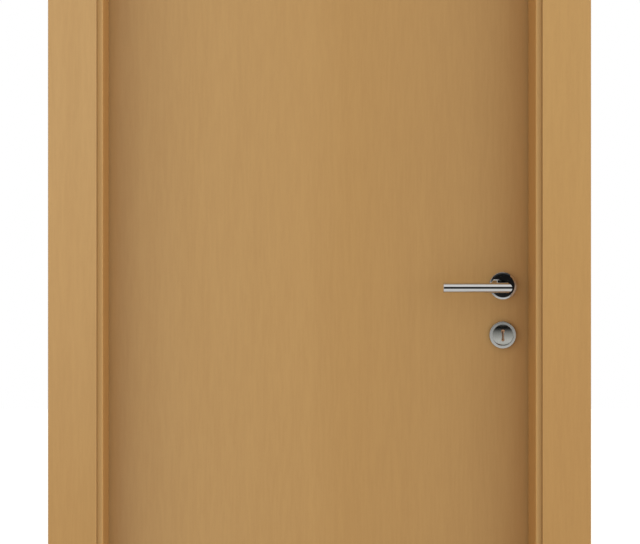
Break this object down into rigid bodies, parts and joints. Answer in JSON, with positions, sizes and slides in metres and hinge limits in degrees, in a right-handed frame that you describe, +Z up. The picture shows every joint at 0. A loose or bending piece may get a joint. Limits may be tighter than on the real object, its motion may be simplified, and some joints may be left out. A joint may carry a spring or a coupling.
{
  "type": "interior flush door with a semi-solid core in a rebated frame",
  "caption": "Beech-veneered flush door leaf hung in a rebated timber frame with flat casings, with round bar levers and round roses.",
  "frame": {"origin": "wall face of the hinge jamb, at mid depth of the frame, at floor level", "axes": "+X from the hinge side to the lock side, +Y from the push side to the pull side, into which the leaf opens, +Z up"},
  "size_m": [1.031, 0.2015, 2.14],
  "materials": {
    "leaf_veneer": "matt lacquered beech veneer, fine short grain running upright",
    "frame_veneer": "matt lacquered beech veneer",
    "casing_veneer": "matt lacquered beech veneer",
    "core_timber": "planed softwood with a beech edge band",
    "seal_rubber": "soft brown seal",
    "handle_steel": "satin stainless steel with bright edges",
    "hinge_steel": "satin nickelled steel",
    "lock_steel": "satin nickelled steel"
  },
  "bodies": {
    "frame": {"hinge_jamb": "frame_veneer", "lock_jamb": "frame_veneer", "head_jamb": "frame_veneer", "front_left_casing": "casing_veneer", "front_right_casing": "casing_veneer", "front_head_casing": "casing_veneer", "back_left_casing": "casing_veneer", "back_right_casing": "casing_veneer", "back_head_casing": "casing_veneer", "hinge_side_seal": "seal_rubber", "lock_side_seal": "seal_rubber", "head_seal": "seal_rubber", "strike_plate": "lock_steel", "top_hinge_frame_flap": "hinge_steel", "middle_hinge_frame_flap": "hinge_steel", "bottom_hinge_frame_flap": "hinge_steel", "top_hinge_pin": "hinge_steel", "middle_hinge_pin": "hinge_steel", "bottom_hinge_pin": "hinge_steel", "hinge_side_stop": "frame_veneer", "lock_side_stop": "frame_veneer", "head_stop": "frame_veneer"},
    "leaf": {"leaf_front_skin": "leaf_veneer", "leaf_back_skin": "leaf_veneer", "leaf_hinge_stile": "core_timber", "leaf_lock_stile": "core_timber", "leaf_top_rail": "core_timber", "leaf_bottom_rail": "core_timber", "leaf_lock_block": "core_timber", "leaf_core": "core_timber", "top_hinge_leaf_flap": "hinge_steel", "middle_hinge_leaf_flap": "hinge_steel", "bottom_hinge_leaf_flap": "hinge_steel", "lock_case": "lock_steel", "lock_faceplate": "lock_steel", "latch_bolt": "lock_steel", "dead_bolt": "lock_steel", "front_lever_rose": "handle_steel", "back_lever_rose": "handle_steel", "front_key_rose": "handle_steel", "back_key_rose": "handle_steel"},
    "levers": {"front_lever": "handle_steel", "back_lever": "handle_steel", "lever_spindle": "lock_steel"}
  },
  "joints": [
    {"name": "leaf_swing", "type": "hinge", "parent": "frame", "child": "leaf", "pos_m": [0.019, 0.073, 0.9], "axis": [0, 0, 1], "range_deg": [0, 175]},
    {"name": "lever_turn", "type": "hinge", "parent": "leaf", "child": "levers", "pos_m": [0.7865, 0.0475, 1.05], "axis": [0, -1, 0], "range_deg": [0, 40], "stiffness_Nm_per_rad": 2, "springref_deg": -20.05}
  ]
}
